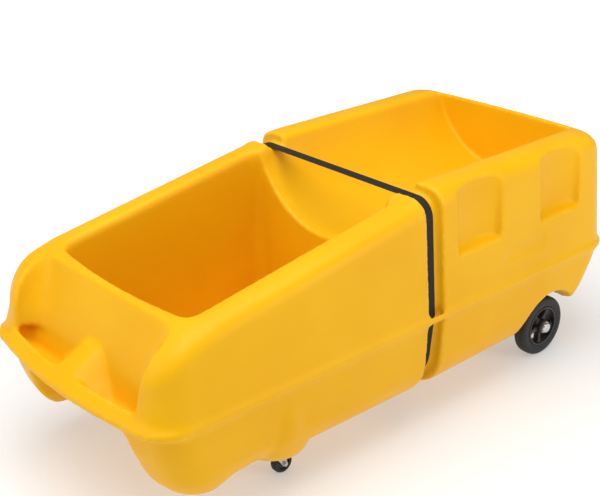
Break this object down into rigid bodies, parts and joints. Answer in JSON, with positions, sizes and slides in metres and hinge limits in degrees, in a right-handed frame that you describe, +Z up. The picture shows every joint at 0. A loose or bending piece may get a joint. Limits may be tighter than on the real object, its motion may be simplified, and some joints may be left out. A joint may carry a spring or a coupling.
{
  "type": "drum dolly",
  "caption": "Moulded plastic tub on wheels with a round cradle for a barrel lying down, a spill sump, a push bar, a ratchet strap and swivel casters.",
  "frame": {"origin": "on the floor, under the middle of the tub", "axes": "+X from the push bar to the large rear wheels, +Y to the side with the ratchet, +Z up"},
  "size_m": [1.8564, 0.842, 0.738],
  "materials": {
    "tub": "moulded, satin",
    "webbing": "woven",
    "tyre": "matte",
    "wheel_core": "moulded",
    "nylon": "moulded",
    "grip": "matte",
    "steel": "ground",
    "zinc": "zinc plated"
  },
  "bodies": {
    "tub_body": {"tub": "tub", "strap_lower": "webbing", "ratchet_frame": "zinc", "pawl_spring": "steel", "ratchet_end_bolt": "zinc", "rear_axle": "steel", "clamp_screw_1": "zinc", "clamp_screw_2": "zinc", "clamp_screw_3": "zinc", "clamp_screw_4": "zinc", "axle_clamp_left": "zinc", "axle_spacer_left": "nylon", "inner_washer_left": "zinc", "outer_washer_left": "zinc", "axle_cap_left": "zinc", "caster_plate_left": "zinc", "caster_kingpin_left": "steel", "caster_screw_left_1": "zinc", "caster_screw_left_2": "zinc", "caster_screw_left_3": "zinc", "caster_screw_left_4": "zinc", "axle_clamp_right": "zinc", "axle_spacer_right": "nylon", "inner_washer_right": "zinc", "outer_washer_right": "zinc", "axle_cap_right": "zinc", "caster_plate_right": "zinc", "caster_kingpin_right": "steel", "caster_screw_right_1": "zinc", "caster_screw_right_2": "zinc", "caster_screw_right_3": "zinc", "caster_screw_right_4": "zinc"},
    "strap_over_body": {"strap_over": "webbing"},
    "spool": {"ratchet_spool": "steel", "strap_wrap": "webbing"},
    "pawl": {"ratchet_pawl": "steel"},
    "handle": {"ratchet_handle": "zinc", "handle_grip": "grip"},
    "rear_wheel_left": {"rear_tyre_left": "tyre", "rear_rim_left": "wheel_core", "rear_bush_left": "nylon"},
    "caster_swivel_left": {"caster_fork_left": "zinc", "caster_bolt_left": "zinc", "caster_nut_left": "zinc"},
    "caster_wheel_left": {"caster_core_left": "wheel_core", "caster_tread_left": "tyre"},
    "rear_wheel_right": {"rear_tyre_right": "tyre", "rear_rim_right": "wheel_core", "rear_bush_right": "nylon"},
    "caster_swivel_right": {"caster_fork_right": "zinc", "caster_bolt_right": "zinc", "caster_nut_right": "zinc"},
    "caster_wheel_right": {"caster_core_right": "wheel_core", "caster_tread_right": "tyre"}
  },
  "joints": [
    {"name": "strap_over_fold", "type": "hinge", "parent": "tub_body", "child": "strap_over_body", "pos_m": [0.0625, -0.315, 0.70985], "axis": [1, 0, 0], "range_deg": [0, 175]},
    {"name": "ratchet_handle_lift", "type": "hinge", "parent": "tub_body", "child": "handle", "pos_m": [0.0625, 0.38884, 0.52], "axis": [1, 0, 0], "range_deg": [0, 120]},
    {"name": "spool_spin", "type": "hinge", "parent": "tub_body", "child": "spool", "pos_m": [0.0625, 0.38884, 0.52], "axis": [1, 0, 0], "continuous": true},
    {"name": "pawl_slide", "type": "slide", "parent": "tub_body", "child": "pawl", "axis": [0, 0, -1], "range_m": [0, 0.004], "stiffness_N_per_m": 400, "springref_m": -0.002, "deforming": ["pawl_spring"]},
    {"name": "rear_wheel_left_spin", "type": "hinge", "parent": "tub_body", "child": "rear_wheel_left", "pos_m": [0.662, 0.321, 0.1], "axis": [0, 1, 0], "continuous": true},
    {"name": "caster_swivel_left_turn", "type": "hinge", "parent": "tub_body", "child": "caster_swivel_left", "pos_m": [-0.426, 0.268, 0.0945], "axis": [0, 0, 1], "continuous": true},
    {"name": "caster_wheel_left_spin", "type": "hinge", "parent": "caster_swivel_left", "child": "caster_wheel_left", "pos_m": [-0.4, 0.268, 0.0315], "axis": [0, 1, 0], "continuous": true},
    {"name": "rear_wheel_right_spin", "type": "hinge", "parent": "tub_body", "child": "rear_wheel_right", "pos_m": [0.662, -0.321, 0.1], "axis": [0, 1, 0], "continuous": true},
    {"name": "caster_swivel_right_turn", "type": "hinge", "parent": "tub_body", "child": "caster_swivel_right", "pos_m": [-0.426, -0.268, 0.0945], "axis": [0, 0, 1], "continuous": true},
    {"name": "caster_wheel_right_spin", "type": "hinge", "parent": "caster_swivel_right", "child": "caster_wheel_right", "pos_m": [-0.4, -0.268, 0.0315], "axis": [0, 1, 0], "continuous": true}
  ]
}
